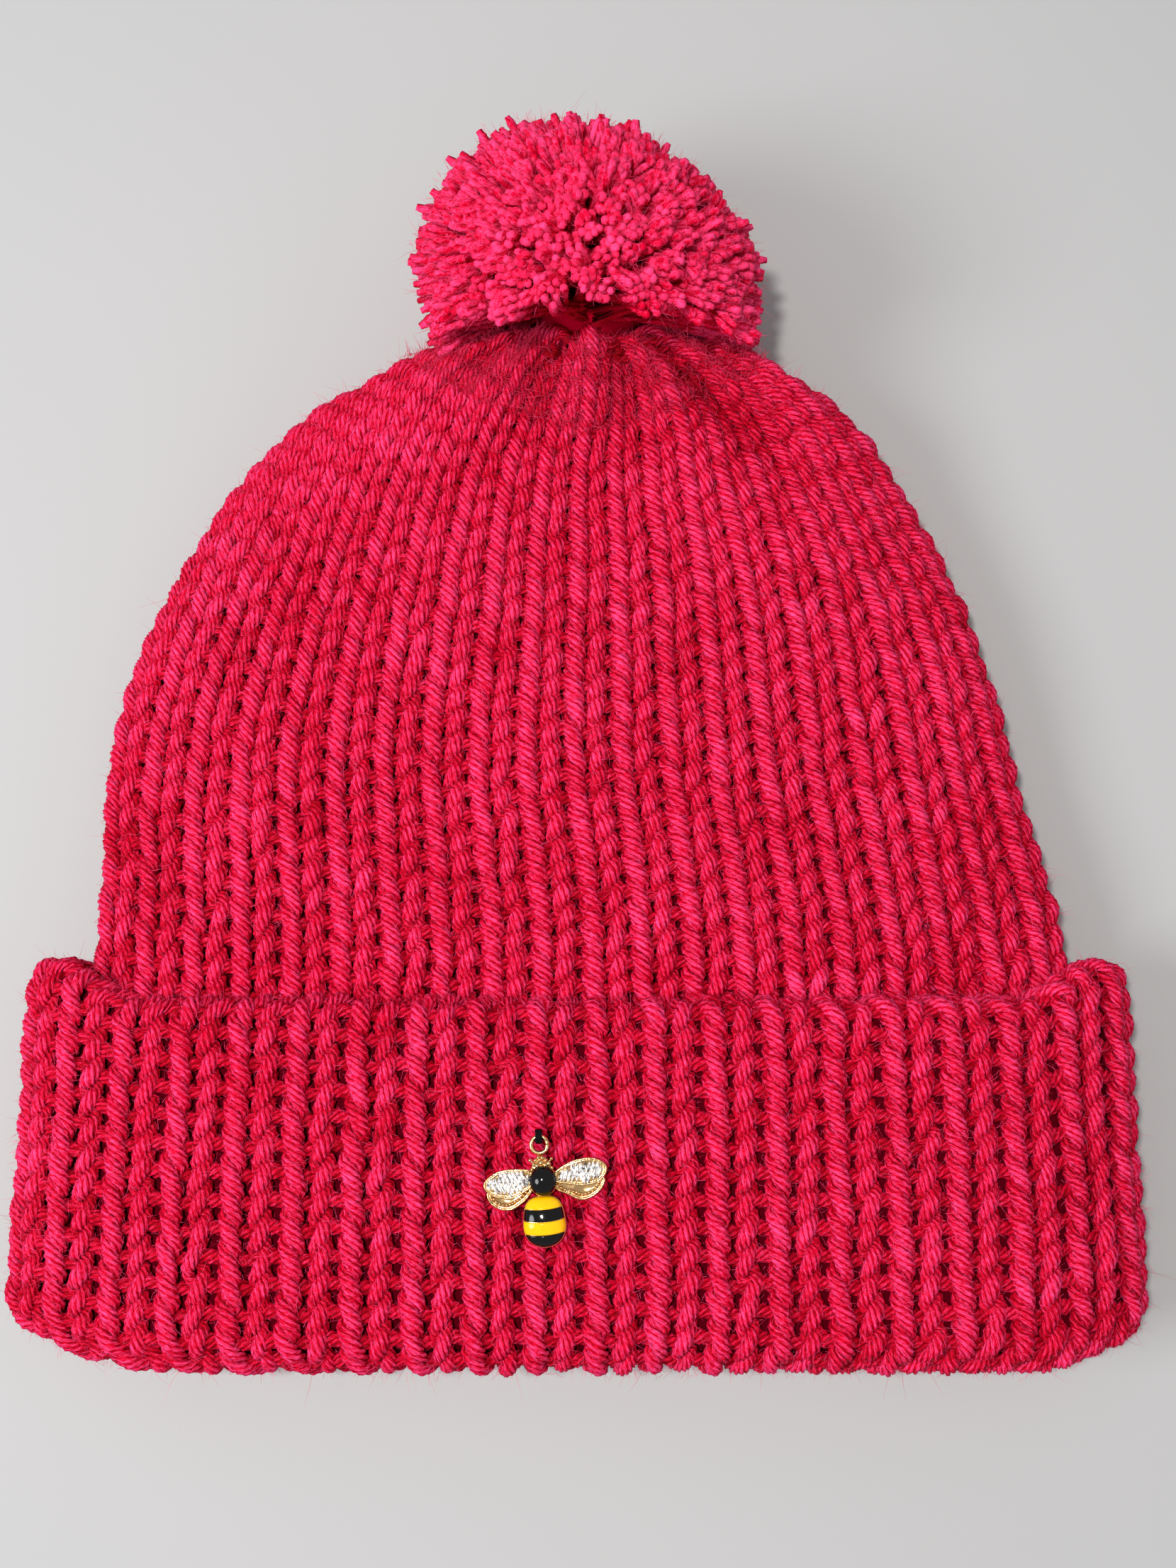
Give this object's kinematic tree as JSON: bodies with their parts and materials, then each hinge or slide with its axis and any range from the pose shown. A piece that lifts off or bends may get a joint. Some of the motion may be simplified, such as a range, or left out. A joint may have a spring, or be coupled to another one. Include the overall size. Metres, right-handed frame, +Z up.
{
  "type": "knitted hat",
  "caption": "Double-layer knitted beanie lying flat, with a turned-up cuff, a yarn pom-pom and a small bee charm hanging on the cuff.",
  "frame": {"origin": "under the middle of the whole hat's box, on the surface that it lies on", "axes": "+Z up out of the front of the hat, +Y from the mouth to the pom-pom, +X across the front"},
  "size_m": [0.248, 0.274, 0.0749],
  "materials": {
    "pink_knit": "soft plied acrylic yarn, knitted",
    "pom_yarn": "cut plied acrylic yarn",
    "black_thread": "matt sewing thread",
    "gold": "polished gold plate",
    "black_enamel": "glossy epoxy enamel",
    "yellow_enamel": "glossy epoxy enamel",
    "crystal": "clear faceted rhinestone"
  },
  "bodies": {
    "hat": {"outer_body": "pink_knit", "body_lining": "pink_knit", "cuff_facing": "pink_knit", "cuff_inner_layer": "pink_knit", "crown_gather_yarn": "pink_knit", "lining_gather_yarn": "pink_knit", "pom_knot": "pom_yarn", "charm_thread_knot": "black_thread"},
    "pom_tie": {"pom_tie_yarn": "pom_yarn"},
    "pom": {"pom_ball": "pom_yarn"},
    "thread_loop": {"charm_thread": "black_thread"},
    "charm": {"bee_casting": "gold", "head_enamel": "black_enamel", "yellow_band_upper": "yellow_enamel", "black_band": "black_enamel", "yellow_band_lower": "yellow_enamel", "black_tip": "black_enamel", "crystal_right_01": "crystal", "crystal_right_02": "crystal", "crystal_right_03": "crystal", "crystal_right_04": "crystal", "crystal_right_05": "crystal", "crystal_right_06": "crystal", "crystal_right_07": "crystal", "crystal_right_08": "crystal", "crystal_right_09": "crystal", "crystal_right_10": "crystal", "crystal_left_01": "crystal", "crystal_left_02": "crystal", "crystal_left_03": "crystal", "crystal_left_04": "crystal", "crystal_left_05": "crystal", "crystal_left_06": "crystal", "crystal_left_07": "crystal", "crystal_left_08": "crystal", "crystal_left_09": "crystal", "crystal_left_10": "crystal"}
  },
  "joints": [
    {"name": "pom_nod", "type": "hinge", "parent": "hat", "child": "pom_tie", "pos_m": [0.00227, 0.088, 0.02854], "axis": [1, 0, 0], "range_deg": [-12, 12]},
    {"name": "pom_sway", "type": "hinge", "parent": "pom_tie", "child": "pom", "pos_m": [0.00227, 0.088, 0.02854], "axis": [0, 0, 1], "range_deg": [-12, 12]},
    {"name": "charm_swing", "type": "hinge", "parent": "hat", "child": "thread_loop", "pos_m": [-0.00813, -0.08699, 0.04095], "axis": [0, 0, 1], "range_deg": [-70, 70]},
    {"name": "charm_lift", "type": "hinge", "parent": "thread_loop", "child": "charm", "pos_m": [-0.00813, -0.08699, 0.04095], "axis": [-0.9969, -0.0785, 0], "range_deg": [0, 150]}
  ]
}
